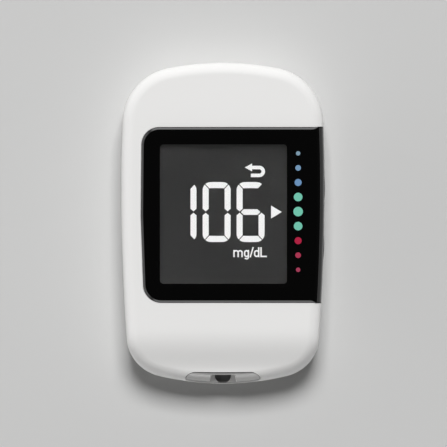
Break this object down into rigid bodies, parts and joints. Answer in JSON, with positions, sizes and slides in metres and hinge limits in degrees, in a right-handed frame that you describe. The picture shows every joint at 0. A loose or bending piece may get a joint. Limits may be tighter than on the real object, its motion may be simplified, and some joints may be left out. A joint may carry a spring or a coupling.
{
  "type": "blood glucose meter",
  "caption": "Pocket blood glucose meter with a display window that wraps over one side, side keys, a test strip port at the lower end and a coin cell door on the back.",
  "frame": {"origin": "middle of the footprint, on the surface that the meter lies on, back down", "axes": "+Z out of the display, +Y towards the end with the data socket, +X towards the side with the keys"},
  "size_m": [0.0488, 0.0772, 0.0153],
  "materials": {
    "white_shell": "satin white",
    "grey_slider": "light grey",
    "black_window": "high gloss black",
    "black_foam": "matt foam",
    "black_print": "printed film",
    "black_panel": "gloss black",
    "black_key": "fine satin",
    "switch_body": "matt",
    "lcd_film": "polariser",
    "lcd_glass": "liquid crystal cell",
    "light_guide": "clear acrylic",
    "natural_plastic": "natural",
    "silicone": "conductive rubber strip",
    "led": "moulded lamp",
    "board_green": "solder resist",
    "chip_black": "moulded epoxy",
    "steel": "plated",
    "capacitor": "fired",
    "gold": "gold plated",
    "grey_bezel": "metallic grey",
    "cell_steel": "nickel plated"
  },
  "bodies": {
    "meter": {"front_cover": "white_shell", "rear_cover": "white_shell", "display_window": "black_window", "window_tape": "black_foam", "window_mask": "black_print", "side_panel": "black_panel", "up_switch": "switch_body", "down_switch": "switch_body", "lcd_gasket": "black_foam", "lcd_polariser": "lcd_film", "lcd_glass": "lcd_glass", "lcd_light_guide": "light_guide", "lcd_holder": "natural_plastic", "lcd_connector": "silicone", "backlight_led": "led", "circuit_board": "board_green", "main_chip": "chip_black", "radio_module": "steel", "crystal": "steel", "board_capacitors": "capacitor", "strip_connector": "natural_plastic", "strip_contacts": "gold", "strip_port_bezel": "grey_bezel", "slot_led": "led", "ejector_spring": "steel", "usb_socket": "steel", "usb_tongue": "chip_black", "battery_cell_left": "cell_steel", "battery_cell_right": "cell_steel", "battery_contact_negative": "gold", "battery_contact_link": "gold", "battery_contact_positive": "gold", "case_screws": "steel", "board_screws": "steel"},
    "battery_door": {"battery_door": "white_shell"},
    "strip_ejector": {"strip_ejector": "grey_slider"},
    "up_button": {"up_button": "black_key", "up_switch_nib": "black_key"},
    "down_button": {"down_button": "black_key", "down_switch_nib": "black_key"}
  },
  "joints": [
    {"name": "battery_door_hinge", "type": "hinge", "parent": "meter", "child": "battery_door", "pos_m": [0, 0.0222, 0], "axis": [1, 0, 0], "range_deg": [0, 60]},
    {"name": "strip_ejector_slide", "type": "slide", "parent": "meter", "child": "strip_ejector", "axis": [0, -1, 0], "range_m": [0, 0.005], "stiffness_N_per_m": 150, "springref_m": -0.003, "deforming": ["ejector_spring"]},
    {"name": "up_button_press", "type": "slide", "parent": "meter", "child": "up_button", "axis": [-1, 0, 0], "range_m": [0, 0.00035], "stiffness_N_per_m": 3000, "springref_m": -0.0003},
    {"name": "down_button_press", "type": "slide", "parent": "meter", "child": "down_button", "axis": [-1, 0, 0], "range_m": [0, 0.00035], "stiffness_N_per_m": 3000, "springref_m": -0.0003}
  ]
}
